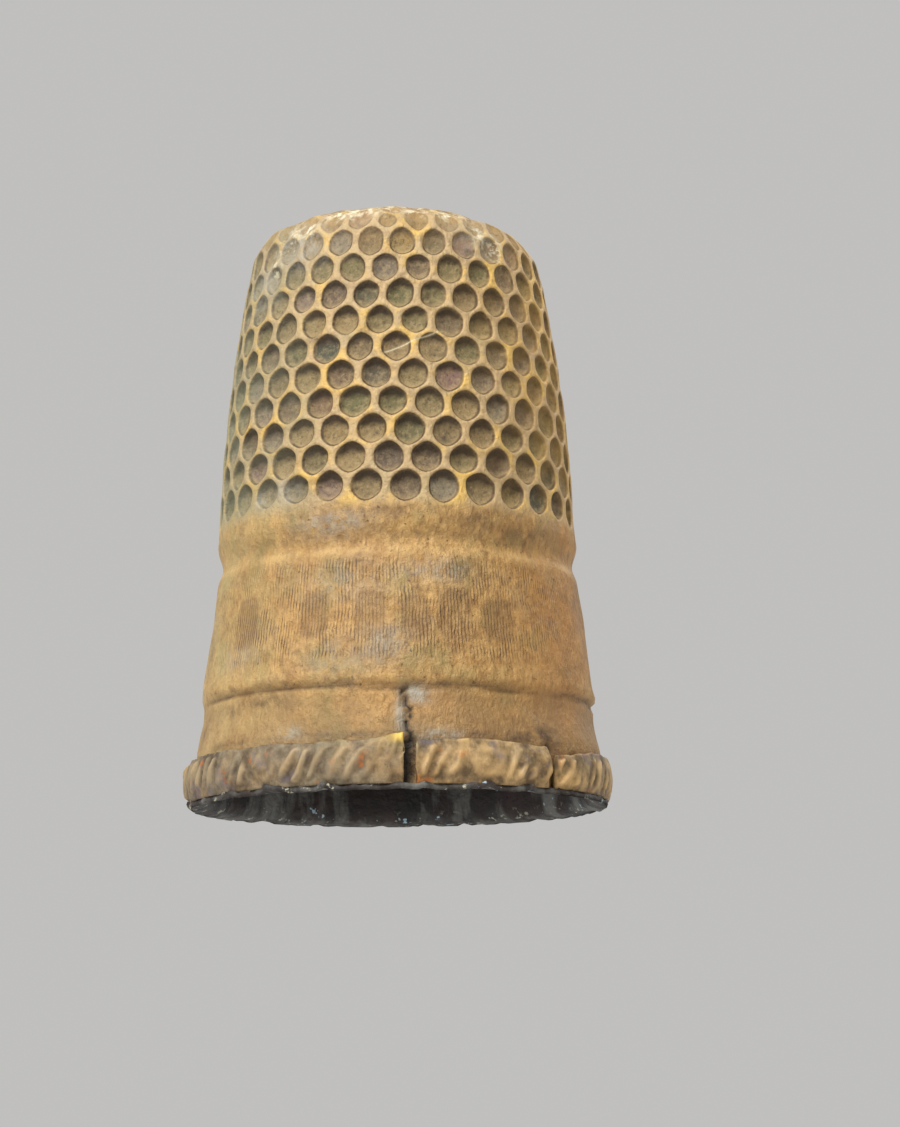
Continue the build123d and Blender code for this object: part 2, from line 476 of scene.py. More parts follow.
def grey_lining(skin, lining, lip_radius):
    """Spin the lining: a cup inside the skin, with a turned-out lip that has been chewed."""
    bm = bmesh.new()
    profile = lining_profile(skin, lining, lip_radius)
    verts = [bm.verts.new((radius, 0, height)) for radius, height in profile]
    edges = [bm.edges.new(pair) for pair in zip(verts, verts[1:])]
    bmesh.ops.spin(
        bm, geom=verts + edges, cent=(0, 0, 0), axis=(0, 0, 1), angle=2 * pi,
        steps=lining.steps, use_merge=True, use_duplicate=False,
    )
    bmesh.ops.remove_doubles(bm, verts=bm.verts[:], dist=0.002 * MM)
    bmesh.ops.recalc_face_normals(bm, faces=bm.faces[:])
    made = make_object(bm, "grey_lining")
    inner_gap = lining.skin_wall + lining.gap + lining.wall
    for vert in made.data.vertices:
        place = vert.co.copy()
        rim = place.xy.length
        out = outward_of(place) if rim > 0.1 * MM else Vector((0, 0, 0))
        at_lip = 1 - ease(lining.lip_thickness, 3 * lining.lip_thickness, place.z)
        at_edge = ease(lip_radius - 0.5 * MM, lip_radius - 0.1 * MM, rim) * at_lip
        chewed = rough(out, 0.09, 21) + 0.5 * rough(out, 0.03, 22)
        dents = 0.05 * MM * rough(place, 1.8 * MM, 23) + 0.02 * MM * rough(place, 0.5 * MM, 24)
        inner_radius = skin.radius(max(place.z, skin.above_foot)) - inner_gap
        within = 1 if rim < inner_radius + 0.05 * MM else 0
        vert.co = place + out * (lining.chew * chewed * at_edge - abs(dents) * within)
        vert.co.z += lining.chew * max(0.0, chewed) * at_edge
    return made


# The rim band

def band_relief(turn, share, repeats):
    """Return how far the stamping stands out, 0 to 1, at a turn and a share of the band's height."""
    # Lengths of the pattern: one repeat, and how far into it the scroll lies.
    repeat = 8.1
    scroll_place = 0.8
    scroll_turn = -35.5
    along = (turn - scroll_turn) / 360 * repeats * repeat + scroll_place
    stray = Vector((sin(radians(turn)), cos(radians(turn)), share / 7))
    along += 0.3 * rough(stray, 0.15, 51)
    share += 0.12 * rough(stray, 0.11, 52)
    phase = along % repeat
    envelope = ease(0.08, 0.2, share) * (1 - ease(0.82, 0.93, share))
    # A scroll: a ring round a small boss.
    from_scroll = hypot(phase - scroll_place, (share - 0.5) * 1.5)
    scroll = 0.42 * bell(from_scroll - 0.42, 0.18) + 0.45 * bell(from_scroll, 0.18)
    # Leaf lobes that lean forwards.
    lobes = 0.0
    if phase > 1.35:
        lean = phase - 0.75 * (share - 0.5)
        lobes = (0.5 + 0.5 * cos(2 * pi * (lean - 1.7) / 0.62))**1.5
        lobes *= ease(1.3, 1.6, phase) * (1 - ease(7.8, 8.1, phase))
        lobes *= 0.65 + 0.35 * cos(2 * pi * phase / 2.1)
    return envelope * max(scroll, lobes)


# Where the broken band springs off: turn in degrees, reach, outwards and upwards in millimetres.
BAND_CURLS = {
    "rim_band_long": ((3.0, 1.1, 0.05, 0.26), (47.5, 1.9, 0.2, -0.36)),
    "rim_band_broken_piece": ((44.5, 1.2, 0.0, -0.05),),
}


def stamped_strip(name, start, end, low, high, inner, band):
    """Model one length of the band: its section is spun from start to end, and its ends closed."""
    bm = bmesh.new()
    verts = []
    for row in range(band.rows + 1):
        share = row / band.rows
        out = inner + band.thickness * (0.4 + 0.6 * sin(pi * (0.08 + 0.84 * share))**0.7)
        verts.append(bm.verts.new(at_turn(start, out, low + (high - low) * share)))
    verts.append(bm.verts.new(at_turn(start, inner, high)))
    verts.append(bm.verts.new(at_turn(start, inner, low)))
    edges = [bm.edges.new(pair) for pair in zip(verts, verts[1:] + verts[:1])]
    angle = radians(end - start)
    spun = bmesh.ops.spin(
        bm, geom=verts + edges, cent=(0, 0, 0), axis=(0, 0, 1), angle=angle,
        steps=round(angle * inner / band.step), use_merge=False, use_duplicate=False,
    )
    last = [item for item in spun["geom_last"] if isinstance(item, BMEdge)]
    bmesh.ops.edgeloop_fill(bm, edges=edges)
    bmesh.ops.edgeloop_fill(bm, edges=last)
    bmesh.ops.recalc_face_normals(bm, faces=bm.faces[:])
    return make_object(bm, name)


def wear_strip(strip, start, end, inner, low, high, band):
    """Raise the stamping, ruffle and curl the broken ends, and mark the worn places."""
    mesh = strip.data
    relief, bright = float_layers(mesh, "relief", "bright")
    for index, vert in enumerate(mesh.vertices):
        place = vert.co.copy()
        out = outward_of(place)
        turn = start + (turn_of(place) - start) % 360
        if turn > end + 1:
            turn -= 360
        share = (place.z - low) / (high - low)
        face = ease(0.02 * MM, 0.12 * MM, place.xy.length - inner)
        stamped = band_relief(turn, share, band.repeats)
        worn = max(0.1, 0.6 + 0.8 * rough(place, 1.5 * MM, 11) + 0.5 * rough(place, 0.5 * MM, 16))
        push = (stamped - 0.5) * band.relief * worn * face
        push += (0.03 * MM * rough(place, 0.9 * MM, 12) + 0.015 * MM * rough(place, 0.3 * MM, 13)) * face
        from_start = radians(turn - start) * inner
        from_end = radians(end - turn) * inner
        ragged = band.ragged * rough(Vector((0, 0, place.z)), 0.35 * MM, start)
        ends = bell(from_start, 0.35 * MM) - bell(from_end, 0.35 * MM)
        slide = at_turn(turn + 90, 1, 0) * (ragged + 0.1 * MM) * ends
        lift = (0.09 * MM * rough(place, 1.3 * MM, 14) + 0.05 * MM * rough(place, 0.35 * MM, 15)) * share
        for curl_turn, reach, outwards, upwards in BAND_CURLS[strip.name]:
            near = bell(radians(turn_gap(turn, curl_turn)) * inner, reach * MM)
            push += outwards * MM * near * share
            lift += upwards * MM * near * share
        vert.co = place + out * push + slide + Vector((0, 0, lift))
        relief[index].value = stamped * worn
        tip = bell(from_end, 0.5 * MM) if strip.name == "rim_band_long" else 0.0
        bright[index].value = tip * ease(0.75, 0.95, share)


# Finishes

def srgb(code):
    """Return the linear colour of an sRGB hex code."""
    channels = [int(code[start:start + 2], 16) / 255 for start in (0, 2, 4)]
    return tuple(c / 12.92 if c <= 0.04045 else ((c + 0.055) / 1.055)**2.4 for c in channels)


def add_node(tree, kind, inputs=None, stops=(), **settings):
    """Add a node, set it up, and give its inputs their values or links."""
    made = tree.nodes.new(kind)
    for name, value in settings.items():
        setattr(made, name, value)
    for key, value in (inputs or {}).items():
        if isinstance(value, bpy.types.NodeSocket):
            tree.links.new(value, made.inputs[key])
        else:
            made.inputs[key].default_value = value
    for place, (position, colour) in enumerate(stops):
        elements = made.color_ramp.elements
        element = elements[place] if place < 2 else elements.new(position)
        element.position = position
        element.color = (*srgb(colour), 1)
    return made


def new_material(name):
    """Return a material with an empty tree, and the tree."""
    material = bpy.data.materials.new(name)
    material.use_nodes = True
    material.node_tree.nodes.clear()
    return material, material.node_tree


def lumps(tree, place, size, low, high, detail=5.0, seed=0.0):
    """Return a mask of lumps of this size in metres: 0 under low, 1 over high."""
    noise_value = add_node(tree, "ShaderNodeTexNoise", {
        "Vector": place, "W": seed, "Scale": 1 / size, "Detail": detail, "Roughness": 0.62,
    }, noise_dimensions="4D").outputs["Fac"]
    return add_node(tree, "ShaderNodeMapRange", {
        "Value": noise_value, "From Min": low, "From Max": high,
    }).outputs["Result"]


def coats(tree, ground, layers):
    """Lay colours over the ground, each as strongly as the product of its masks, and return the last."""
    for *masks, colour in layers:
        strength = masks[0]
        for mask in masks[1:]:
            strength = add_node(
                tree, "ShaderNodeMath", {0: strength, 1: mask}, operation="MULTIPLY", use_clamp=True
            ).outputs[0]
        above = colour if isinstance(colour, bpy.types.NodeSocket) else (*srgb(colour), 1)
        ground = add_node(
            tree, "ShaderNodeMix", {0: strength, 6: ground, 7: above}, data_type="RGBA"
        ).outputs[2]
    return ground


def brass_ground(tree, place, colours):
    """Return the mottled ochre of brass that has lain in the ground, and its grain."""
    clouds = lumps(tree, place, 2.4 * MM, 0.3, 0.72, 6.0, 1.0)
    ground = add_node(tree, "ShaderNodeMix", {
        0: clouds, 6: (*colours.deep, 1), 7: (*colours.ochre, 1),
    }, data_type="RGBA").outputs[2]
    # The grain is drawn out upright, as the sheet was when it was pressed.
    drawn = add_node(
        tree, "ShaderNodeVectorMath", {0: place, 1: (1, 1, 0.45)}, operation="MULTIPLY"
    ).outputs[0]
    grain = lumps(tree, drawn, 0.22 * MM, 0.4, 0.68, 3.0, 2.0)
    ground = coats(tree, ground, (
        (grain, 0.4, "DDB87C"),
        (lumps(tree, drawn, 0.16 * MM, 0.5, 0.68, 4.0, 25.0), 0.5, "6A4A28"),
        (lumps(tree, place, 0.6 * MM, 0.51, 0.68, 6.0, 3.0), 0.65, "6E4E2B"),
        (lumps(tree, place, 3.5 * MM, 0.52, 0.68, 4.0, 4.0), 0.7, "7C7160"),
        (lumps(tree, place, 1.7 * MM, 0.5, 0.66, 6.0, 5.0), 0.65, "867D4C"),
        (lumps(tree, place, 1.1 * MM, 0.52, 0.68, 6.0, 23.0), 0.4, "9A6A34"),
        (lumps(tree, place, 0.16 * MM, 0.62, 0.69, 3.0, 6.0), 0.8, "3E2E1D"),
    ))
    return ground, grain


def upright_hatching(tree, place, axes):
    """Return the mask of the skirt's hatched lines, before they are rubbed away."""
    # 348 lines round the skirt stand 0.13 mm apart, and each sways a little.
    lines = 348.0
    around = add_node(tree, "ShaderNodeMath", {0: axes["X"], 1: axes["Y"]}, operation="ARCTAN2").outputs[0]
    sway = add_node(tree, "ShaderNodeMath", {
        0: lumps(tree, place, 0.8 * MM, 0.3, 0.7, 3.0, 14.0), 1: 5.0,
    }, operation="MULTIPLY").outputs[0]
    wave = add_node(
        tree, "ShaderNodeMath", {0: around, 1: lines, 2: sway}, operation="MULTIPLY_ADD"
    ).outputs[0]
    wave = add_node(tree, "ShaderNodeMath", {0: wave}, operation="SINE").outputs[0]
    return add_node(tree, "ShaderNodeMapRange", {
        "Value": wave, "From Min": 0.2, "From Max": 0.95,
    }).outputs["Result"]


def front_scratch(tree, place):
    """Return the mask of a straight scratch that crosses one pit at the front."""
    start = Vector((-0.28 * MM, 0, 16.3 * MM))
    direction = Vector((1.95, 0, 0.8)).normalized()
    # Depth is left out, so that the scratch runs over ridge and floor alike.
    from_start = add_node(
        tree, "ShaderNodeVectorMath", {0: place, 1: (1, 0, 1), 2: -start}, operation="MULTIPLY_ADD"
    ).outputs[0]
    beside = add_node(
        tree, "ShaderNodeVectorMath", {0: from_start, 1: direction}, operation="CROSS_PRODUCT"
    ).outputs[0]
    away = add_node(tree, "ShaderNodeVectorMath", {0: beside}, operation="LENGTH").outputs["Value"]
    near = add_node(tree, "ShaderNodeMapRange", {
        "Value": away, "From Min": 0.2 * MM, "From Max": 0.0,
    }).outputs["Result"]
    return add_node(tree, "ShaderNodeMath", {0: near, 1: 7.0}, operation="POWER").outputs[0]


def aged_drawn_brass(colours):
    """Finish the skin."""
    # Drawn sheet brass, long buried: ochre tarnish that is matt in the pits and rubbed on the ridges.
    material, tree = new_material("aged_drawn_brass")
    place = add_node(tree, "ShaderNodeTexCoord").outputs["Object"]
    pit, tint, crease, scar, grey, stain_and_shade, bright, warm, mark = [
        add_node(tree, "ShaderNodeAttribute", attribute_name=name).outputs["Fac"]
        for name in ("pit", "tint", "crease", "scar", *SKIN_SPOTS)
    ]
    ground, grain = brass_ground(tree, place, colours)
    axes = add_node(tree, "ShaderNodeSeparateXYZ", {0: place}).outputs
    facing = add_node(tree, "ShaderNodeSeparateXYZ", {
        0: add_node(tree, "ShaderNodeNewGeometry").outputs["Normal"],
    }).outputs["Z"]
    # Zones by what is measured, the value where each is empty and the value where it is full.
    zones = {}
    for name, measure, empty, full in (
        ("knurled", axes["Z"], 10.3 * MM, 10.8 * MM),
        ("groove_glint_low", axes["Z"], 8.55 * MM, 8.75 * MM),
        ("groove_glint_high", axes["Z"], 9.0 * MM, 8.85 * MM),
        ("flare", axes["Z"], 4.0 * MM, 3.4 * MM),
        ("hatch_low", axes["Z"], 4.6 * MM, 5.0 * MM),
        ("hatch_high", axes["Z"], 8.6 * MM, 8.3 * MM),
        ("left_side", axes["X"], -2.5 * MM, -6.5 * MM),
        ("scratch_start", axes["X"], -0.4 * MM, -0.2 * MM),
        ("scratch_end", axes["X"], 1.9 * MM, 1.6 * MM),
        ("front", axes["Y"], 0.0, -0.001 * MM),
        ("overhang_shade", facing, 0.02, -0.3),
        ("ledge_highlight", facing, 0.25, 0.6),
        ("punched", mark, 0.28, 0.42),
    ):
        zones[name] = add_node(tree, "ShaderNodeMapRange", {
            "Value": measure, "From Min": empty, "From Max": full,
        }).outputs["Result"]
    bare = add_node(tree, "ShaderNodeMath", {0: 1.0, 1: pit}, operation="SUBTRACT").outputs[0]
    # The pits are rubbed away towards the crown.
    kept = add_node(tree, "ShaderNodeMapRange", {
        "Value": axes["Z"], "From Min": 20.4 * MM, "From Max": 22.0 * MM, "To Min": 1.0, "To Max": 0.25,
    }).outputs["Result"]
    ridge = (bare, zones["knurled"])
    sunk = (pit, kept)
    outline = (pit, bare, 4.0, kept)
    scratch = (front_scratch(tree, place), zones["scratch_start"], zones["scratch_end"], zones["front"])
    line = upright_hatching(tree, place, axes)
    rubbed = lumps(tree, place, 0.8 * MM, 0.44, 0.6, 5.0, 7.0)
    hatch = coats(tree, (0, 0, 0, 1), ((line, zones["hatch_low"], zones["hatch_high"], rubbed, "FFFFFF"),))
    floor_colour = add_node(tree, "ShaderNodeValToRGB", {"Fac": tint}, stops=(
        (0.0, "6F5E42"), (1.0, "7A624A"), (0.2, "8C7852"), (0.36, "62603F"), (0.5, "7B5F58"),
        (0.64, "7E7664"), (0.76, "5E5148"), (0.88, "917A4C"), (0.95, "3A463E"),
    )).outputs["Color"]
    colour = coats(tree, ground, (
        (warm, lumps(tree, place, 2.6 * MM, 0.2, 0.6, 5.0, 15.0), 0.7, "B2742C"),
        (zones["flare"], lumps(tree, place, 1.5 * MM, 0.25, 0.6, 5.0, 22.0), 0.75, "8B6C44"),
        # Painted light: the left side is lightened, where the light from the left falls.
        (zones["left_side"], lumps(tree, place, 1.3 * MM, 0.3, 0.6, 5.0, 26.0), 0.45, "D6BC82"),
        # A painted highlight along the lower side of the groove.
        (
            zones["groove_glint_low"], zones["groove_glint_high"], lumps(tree, place, 1.5 * MM, 0.35, 0.65, 4.0, 24.0),
            0.45, "DDBA7C",
        ),
        (*ridge, 0.6, "C6AF86"),
        (*ridge, lumps(tree, place, 1.6 * MM, 0.48, 0.62, 3.0, 9.0), 0.85, "DDB45C"),
        (*ridge, lumps(tree, place, 0.3 * MM, 0.52, 0.66, 5.0, 16.0), 0.45, "8A6B45"),
        (*sunk, 0.92, floor_colour),
        (*sunk, lumps(tree, place, 0.17 * MM, 0.46, 0.62, 5.0, 10.0), 0.45, "AC966C"),
        (*sunk, lumps(tree, place, 0.12 * MM, 0.54, 0.66, 4.0, 28.0), 0.6, "45382A"),
        (*sunk, lumps(tree, place, 0.5 * MM, 0.56, 0.68, 4.0, 17.0), 0.7, "40362A"),
        # Painted shade under the upper side of each pit, which faces down, and a painted highlight on its
        # lower side, which faces up.
        (*sunk, zones["overhang_shade"], 0.9, "35281A"),
        (*sunk, zones["ledge_highlight"], 0.4, "B79C6C"),
        (*outline, lumps(tree, place, 0.6 * MM, 0.3, 0.55, 3.0, 18.0), 0.85, "35230F"),
        (
            zones["left_side"], zones["knurled"], lumps(tree, place, 1.8 * MM, 0.3, 0.55, 4.0, 19.0),
            0.62, "80836A",
        ),
        # Painted light with the redder tarnish: the knurl on the right is lightened over its pits, whose
        # walls there catch the light.
        (warm, zones["knurled"], lumps(tree, place, 1.2 * MM, 0.3, 0.6, 5.0, 27.0), 0.62, "B08C48"),
        (hatch, 0.75, "4A321E"),
        (crease, 0.85, "4A2E16"),
        # The punch marks are blank: one even tone, with the hatching running through it.
        (zones["punched"], 0.45, "80603A"),
        (zones["punched"], line, 0.4, "5A4028"),
        (*scratch, 0.8, "E6D7B0"),
        # Dirt and dark tarnish, with painted shade in the groove under the bead.
        (stain_and_shade, lumps(tree, place, 0.5 * MM, 0.35, 0.6, 5.0, 11.0), 0.8, "4B3826"),
        (grey, lumps(tree, place, 0.4 * MM, 0.34, 0.58, 5.0, 12.0), 0.85, "A39E90"),
        # Painted highlights on the crown, over chips of bare metal.
        (bright, lumps(tree, place, 0.3 * MM, 0.48, 0.6, 5.0, 13.0), "E4D8B8"),
        (scar, "1B140E"),
    ))
    roughness = add_node(tree, "ShaderNodeMapRange", {
        "Value": pit, "To Min": 0.56, "To Max": 0.8,
    }).outputs["Result"]
    metallic = add_node(tree, "ShaderNodeMapRange", {
        "Value": pit, "To Min": 0.22, "To Max": 0.05,
    }).outputs["Result"]
    coarse = lumps(tree, place, 0.3 * MM, 0.3, 0.7, 5.0, 20.0)
    swells = add_node(tree, "ShaderNodeBump", {
        "Height": coarse, "Strength": 0.9, "Distance": 0.06 * MM,
    }).outputs[0]
    pitting = add_node(tree, "ShaderNodeBump", {
        "Height": grain, "Strength": 0.75, "Distance": 0.035 * MM, "Normal": swells,
    }).outputs[0]
    carving = add_node(tree, "ShaderNodeBump", {
        "Height": hatch, "Strength": 0.6, "Distance": 0.03 * MM, "Normal": pitting,
    }, invert=True).outputs[0]
    shader = add_node(tree, "ShaderNodeBsdfPrincipled", {
        "Base Color": colour, "Metallic": metallic, "Roughness": roughness, "Normal": carving,
    })
    add_node(tree, "ShaderNodeOutputMaterial", {"Surface": shader.outputs["BSDF"]})
    return material


def stamped_band_brass(colours):
    """Finish the rim band."""
    # Rolled and stamped brass strip: raised leaves rubbed lighter, brown dirt in the ground between.
    material, tree = new_material("stamped_band_brass")
    place = add_node(tree, "ShaderNodeTexCoord").outputs["Object"]
    relief, bright = [
        add_node(tree, "ShaderNodeAttribute", attribute_name=name).outputs["Fac"]
        for name in ("relief", "bright")
    ]
    ground, grain = brass_ground(tree, place, colours)
    axes = add_node(tree, "ShaderNodeSeparateXYZ", {0: place}).outputs
    greyer = add_node(tree, "ShaderNodeMapRange", {
        "Value": axes["X"], "From Min": 0.6 * MM, "From Max": -1.5 * MM,
    }).outputs["Result"]
    paler = add_node(tree, "ShaderNodeMapRange", {
        "Value": axes["X"], "From Min": 0.9 * MM, "From Max": 2.0 * MM,
    }).outputs["Result"]
    hollow = add_node(tree, "ShaderNodeMapRange", {
        "Value": relief, "From Min": 0.45, "From Max": 0.05,
    }).outputs["Result"]
    colour = coats(tree, ground, (
        (lumps(tree, place, 2.2 * MM, 0.36, 0.58, 4.0, 34.0), 0.6, "8F8672"),
        (greyer, lumps(tree, place, 1.2 * MM, 0.3, 0.6, 5.0, 35.0), 0.6, "8E8874"),
        (paler, lumps(tree, place, 1.4 * MM, 0.3, 0.6, 5.0, 36.0), 0.7, "D6B176"),
        (relief, 0.45, "C9A877"),
        (hollow, lumps(tree, place, 0.7 * MM, 0.36, 0.6, 4.0, 31.0), 0.85, "46341F"),
        (lumps(tree, place, 1.6 * MM, 0.56, 0.66, 3.0, 32.0), 0.6, "6B6470"),
        (lumps(tree, place, 0.9 * MM, 0.62, 0.7, 3.0, 33.0), 0.7, "B8641F"),
        (bright, "E8C25A"),
    ))
    bump = add_node(tree, "ShaderNodeBump", {
        "Height": grain, "Strength": 0.6, "Distance": 0.03 * MM,
    }).outputs[0]
    shader = add_node(tree, "ShaderNodeBsdfPrincipled", {
        "Base Color": colour, "Metallic": 0.2, "Roughness": 0.6, "Normal": bump,
    })
    add_node(tree, "ShaderNodeOutputMaterial", {"Surface": shader.outputs["BSDF"]})
    return material


def oxidised_white_metal(colours):
    """Finish the lining."""
    # Thin white metal gone dark with oxide: near black inside, pale grey crumbs along the lip.
    material, tree = new_material("oxidised_white_metal")
    place = add_node(tree, "ShaderNodeTexCoord").outputs["Object"]
    axes = add_node(tree, "ShaderNodeSeparateXYZ", {0: place}).outputs
    lip = add_node(tree, "ShaderNodeMapRange", {
        "Value": axes["Z"], "From Min": 0.6 * MM, "From Max": 0.1 * MM,
    }).outputs["Result"]
    base = add_node(tree, "ShaderNodeMix", {
        0: lumps(tree, place, 2.0 * MM, 0.35, 0.65, 5.0, 41.0),
        6: (*colours.lining, 1), 7: (*srgb("3A302C"), 1),
    }, data_type="RGBA").outputs[2]
    # Upright streaks: the noise is drawn out three times along the axis.
    drawn = add_node(
        tree, "ShaderNodeVectorMath", {0: place, 1: (1, 1, 0.3)}, operation="MULTIPLY"
    ).outputs[0]
    colour = coats(tree, base, (
        (lumps(tree, drawn, 1.3 * MM, 0.5, 0.64, 4.0, 45.0), 0.9, "82827C"),
        (lumps(tree, drawn, 2.0 * MM, 0.54, 0.7, 4.0, 46.0), 0.6, "4A3434"),
        (lip, lumps(tree, place, 0.6 * MM, 0.42, 0.62, 5.0, 42.0), 0.55, "66635E"),
        (lip, lumps(tree, place, 0.4 * MM, 0.6, 0.64, 4.0, 47.0), 0.9, "CFCAB0"),
        (lumps(tree, place, 0.45 * MM, 0.66, 0.7, 3.0, 43.0), 0.9, "B9D2DE"),
    ))
    grain = lumps(tree, place, 0.3 * MM, 0.35, 0.65, 5.0, 44.0)
    bump = add_node(tree, "ShaderNodeBump", {
        "Height": grain, "Strength": 0.7, "Distance": 0.05 * MM,
    }).outputs[0]
    shader = add_node(tree, "ShaderNodeBsdfPrincipled", {
        "Base Color": colour, "Metallic": 0.35, "Roughness": 0.6, "Normal": bump,
    })
    add_node(tree, "ShaderNodeOutputMaterial", {"Surface": shader.outputs["BSDF"]})
    return material


def matt_floor_paint(colour):
    """Finish the floor."""
    # Matt wall paint, with no shine. It is clear from below, so that a low camera sees past it.
    material, tree = new_material("matt_floor_paint")
    behind = add_node(tree, "ShaderNodeNewGeometry").outputs["Backfacing"]
    paint = add_node(tree, "ShaderNodeBsdfPrincipled", {
        "Base Color": (*colour, 1), "Roughness": 0.9,
    }).outputs[0]
    clear = add_node(tree, "ShaderNodeBsdfTransparent").outputs[0]
    shown = add_node(tree, "ShaderNodeMixShader", {0: behind, 1: paint, 2: clear}).outputs[0]
    add_node(tree, "ShaderNodeOutputMaterial", {"Surface": shown})
    return material


# The stage

# A large soft lamp over the camera, a weak one from the left, and one behind for the edge:
# name, place and width in metres, and watts.
LAMPS = (
    ("key_lamp", (-0.05, -0.16, 0.24), 0.09, 0.74),
    ("fill_lamp", (-0.22, -0.14, 0.03), 0.20, 0.28),
    ("edge_lamp", (0.14, 0.16, 0.16), 0.14, 0.12),
)
# The height that the lamps point at.
LAMP_AIM = 11 * MM
ROOM_COLOUR = "E4E3E1"
ROOM_STRENGTH = 0.68
# The camera, in millimetres and degrees: it stands a little under the mouth and looks up.
CAMERA_PLACE = (2.02, -105, -9.57)
CAMERA_RAISED = 10.29
CAMERA_ROLL = -0.55
CAMERA_LENS = 88.3
# The floor's hole lets light into the mouth, and the band hides it from above.
FLOOR_HOLE = 7.85 * MM
FLOOR_SPREAD = 80


def pale_floor():
    """Make a wide round floor, with a hole under the mouth."""
    bm = bmesh.new()
    bmesh.ops.create_circle(bm, cap_ends=False, segments=96, radius=FLOOR_HOLE)
    made = bmesh.ops.extrude_edge_only(bm, edges=bm.edges[:])["geom"]
    outer = [item for item in made if isinstance(item, BMVert)]
    bmesh.ops.scale(bm, vec=(FLOOR_SPREAD, FLOOR_SPREAD, 1), verts=outer)
    bmesh.ops.recalc_face_normals(bm, faces=bm.faces[:])
    if bm.faces[:][0].normal.z < 0:
        bmesh.ops.reverse_faces(bm, faces=bm.faces[:])
    return make_object(bm, "floor")


# Tying pieces to the frame

def dress(piece, material, node):
    """Give a piece its finish, and tie it to the frame."""
    piece.data.materials.clear()
    piece.data.materials.append(material)
    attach(piece, "root")
    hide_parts(node)


# Settings

def length(name, description, default):
    """Return a setting in millimetres."""
    return bpy.props.FloatProperty(
        name=name, description=description, default=default * MM, min=0.0, precision=5,
        subtype="DISTANCE", unit="LENGTH",
    )


def angle(name, description, default):
    """Return a setting in degrees."""
    return bpy.props.FloatProperty(
        name=name, description=description, default=radians(default), subtype="ANGLE", unit="ROTATION",
    )


def count(name, description, default, least):
    """Return a setting that is a whole number."""
    return bpy.props.IntProperty(name=name, description=description, default=default, min=least)


def fraction(name, description, default):
    """Return a setting between 0 and 1."""
    return bpy.props.FloatProperty(
        name=name, description=description, default=default, min=0.0, max=1.0, subtype="FACTOR",
    )


def colour(name, description, default):
    """Return a colour setting from its sRGB hex code."""
    return bpy.props.FloatVectorProperty(
        name=name, description=description, default=srgb(default), size=3, min=0.0, max=1.0,
        subtype="COLOR",
    )


class ThimbleKnurl(bpy.types.PropertyGroup):
    """The pits on the wall and crown"""

    pits_per_row: count("Pits per row", "Pits round the wall", 30, 12)
    row_count: count("Rows", "Rows of pits up the wall", 10, 1)
    first_row: length("First row", "Height of the lowest row over the mouth", 11.21)
    row_pitch: length("Row pitch", "From one row up to the next", 1.06)
    row_turn: angle("Row turn", "How far each row is turned against the one over it", 5.33)
    first_turn: angle("First turn", "Where the top row has a pit", 3.8)
    row_lean: length("Row lean", "How far the rows run downhill at the side", 0.11)
    ridge_width: length("Ridge width", "Metal between two pits", 0.175)
    pit_depth: length("Pit depth", "Depth of a pit's floor", 0.27)
    wall_width: length("Pit side", "Width of a pit's sloping side", 0.08)
    wobble: length("Wobble", "How far a ridge strays", 0.065)
    roundness: fraction("Roundness", "0 for six-sided pits, 1 for round ones", 0.5)
    stretch: fraction("Stretch", "How far each pit is drawn out upright", 0.07)


class ThimbleSkin(bpy.types.PropertyGroup):
    """The brass skin and its damage"""

    seed: count("Seed", "Picks the unevenness of the pits", 3, 0)
    column_cuts: count("Column cuts", "Cuts between two pits, below them", 4, 0)
    inner_rings: count("Inner rings", "Rings up the hidden inside", 12, 1)
    ring_step: length("Ring step", "Between two rings of the skirt", 0.3)
    wall: length("Wall", "Thickness of the sheet", 0.38)
    crease_height: length("Crease height", "The fold over the waist", 3.8)
    crease_depth: length("Crease depth", "Depth of that fold", 0.17)
    crack_turn: angle("Crack turn", "Where the skirt is split", 3.4)
    second_turn: angle("Second break", "Where the rim band is broken again", 45.2)
    crack_width: length("Crack width", "Half the width of the split", 0.1)


class ThimbleLining(bpy.types.PropertyGroup):
    """The white-metal lining"""

    skin_wall: length("Skin wall", "Thickness of the skin round it", 0.38)
    gap: length("Gap", "Between skin and lining", 0.02)
    wall: length("Wall", "Thickness of the lining", 0.25)
    lip_thickness: length("Lip thickness", "Thickness of the turned-out lip", 0.22)
    flare: length("Flare", "Height of the flare between the lip and the cup", 0.9)
    chew: length("Chew", "How far the lip's edge is broken in and out", 0.2)
    rings: count("Rings", "Rings up the wall", 40, 8)
    steps: count("Steps", "Steps round the axis", 240, 24)


class ThimbleBand(bpy.types.PropertyGroup):
    """The broken rim band"""

    gap: length("Gap", "Between the skin and the band", 0.02)
    thickness: length("Thickness", "Greatest thickness of the band", 0.38)
    relief: length("Relief", "Height of the stamping", 0.24)
    ragged: length("Ragged", "Roughness of the broken ends", 0.12)
    step: length("Step", "Between two sections along the band", 0.07)
    repeats: count("Repeats", "Scrolls round the band", 6, 1)
    rows: count("Rows", "Rows up the band", 22, 6)
    first_break: angle("First break", "Middle of the wide break", 3.9)
    first_break_width: angle("First break width", "Width of the wide break", 1.8)
    second_break: angle("Second break", "Middle of the narrow break", 45.2)
    second_break_width: angle("Second break width", "Width of the narrow break", 0.7)


class ThimbleColours(bpy.types.PropertyGroup):
    """The colours that a user would change"""

    ochre: colour("Ochre", "Tarnished brass", "C29A5C")
    deep: colour("Deep ochre", "Darker tarnish between", "9A7440")
    lining: colour("Lining", "Oxidised white metal", "2A2928")
    floor: colour("Floor", "Matt floor", "D9D7D3")


# Operators

